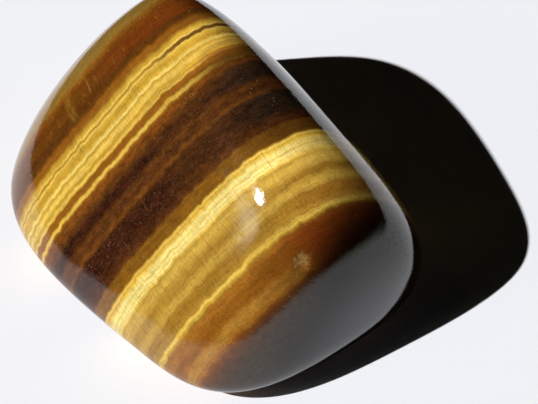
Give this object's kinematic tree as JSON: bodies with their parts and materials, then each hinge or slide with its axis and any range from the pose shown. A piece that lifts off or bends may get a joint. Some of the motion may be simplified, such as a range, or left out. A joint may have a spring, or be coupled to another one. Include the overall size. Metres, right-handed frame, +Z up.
{
  "type": "tumbled tiger's eye stone",
  "caption": "Polished, tumble-rounded block of banded golden-brown tiger's eye quartz that rests on a flat bed; loose decorative stone.",
  "frame": {"origin": "middle of the stone's box, on the plane of the flat bed that it rests on", "axes": "+X along the longest way, roughly across the bands; +Y roughly along the bands; +Z up, away from the bed"},
  "size_m": [0.03, 0.0239, 0.019],
  "materials": {
    "banded_quartz": "high tumbled polish over golden and brown silky bands"
  },
  "bodies": {
    "root": {"tiger_eye_stone": "banded_quartz"}
  },
  "joints": []
}
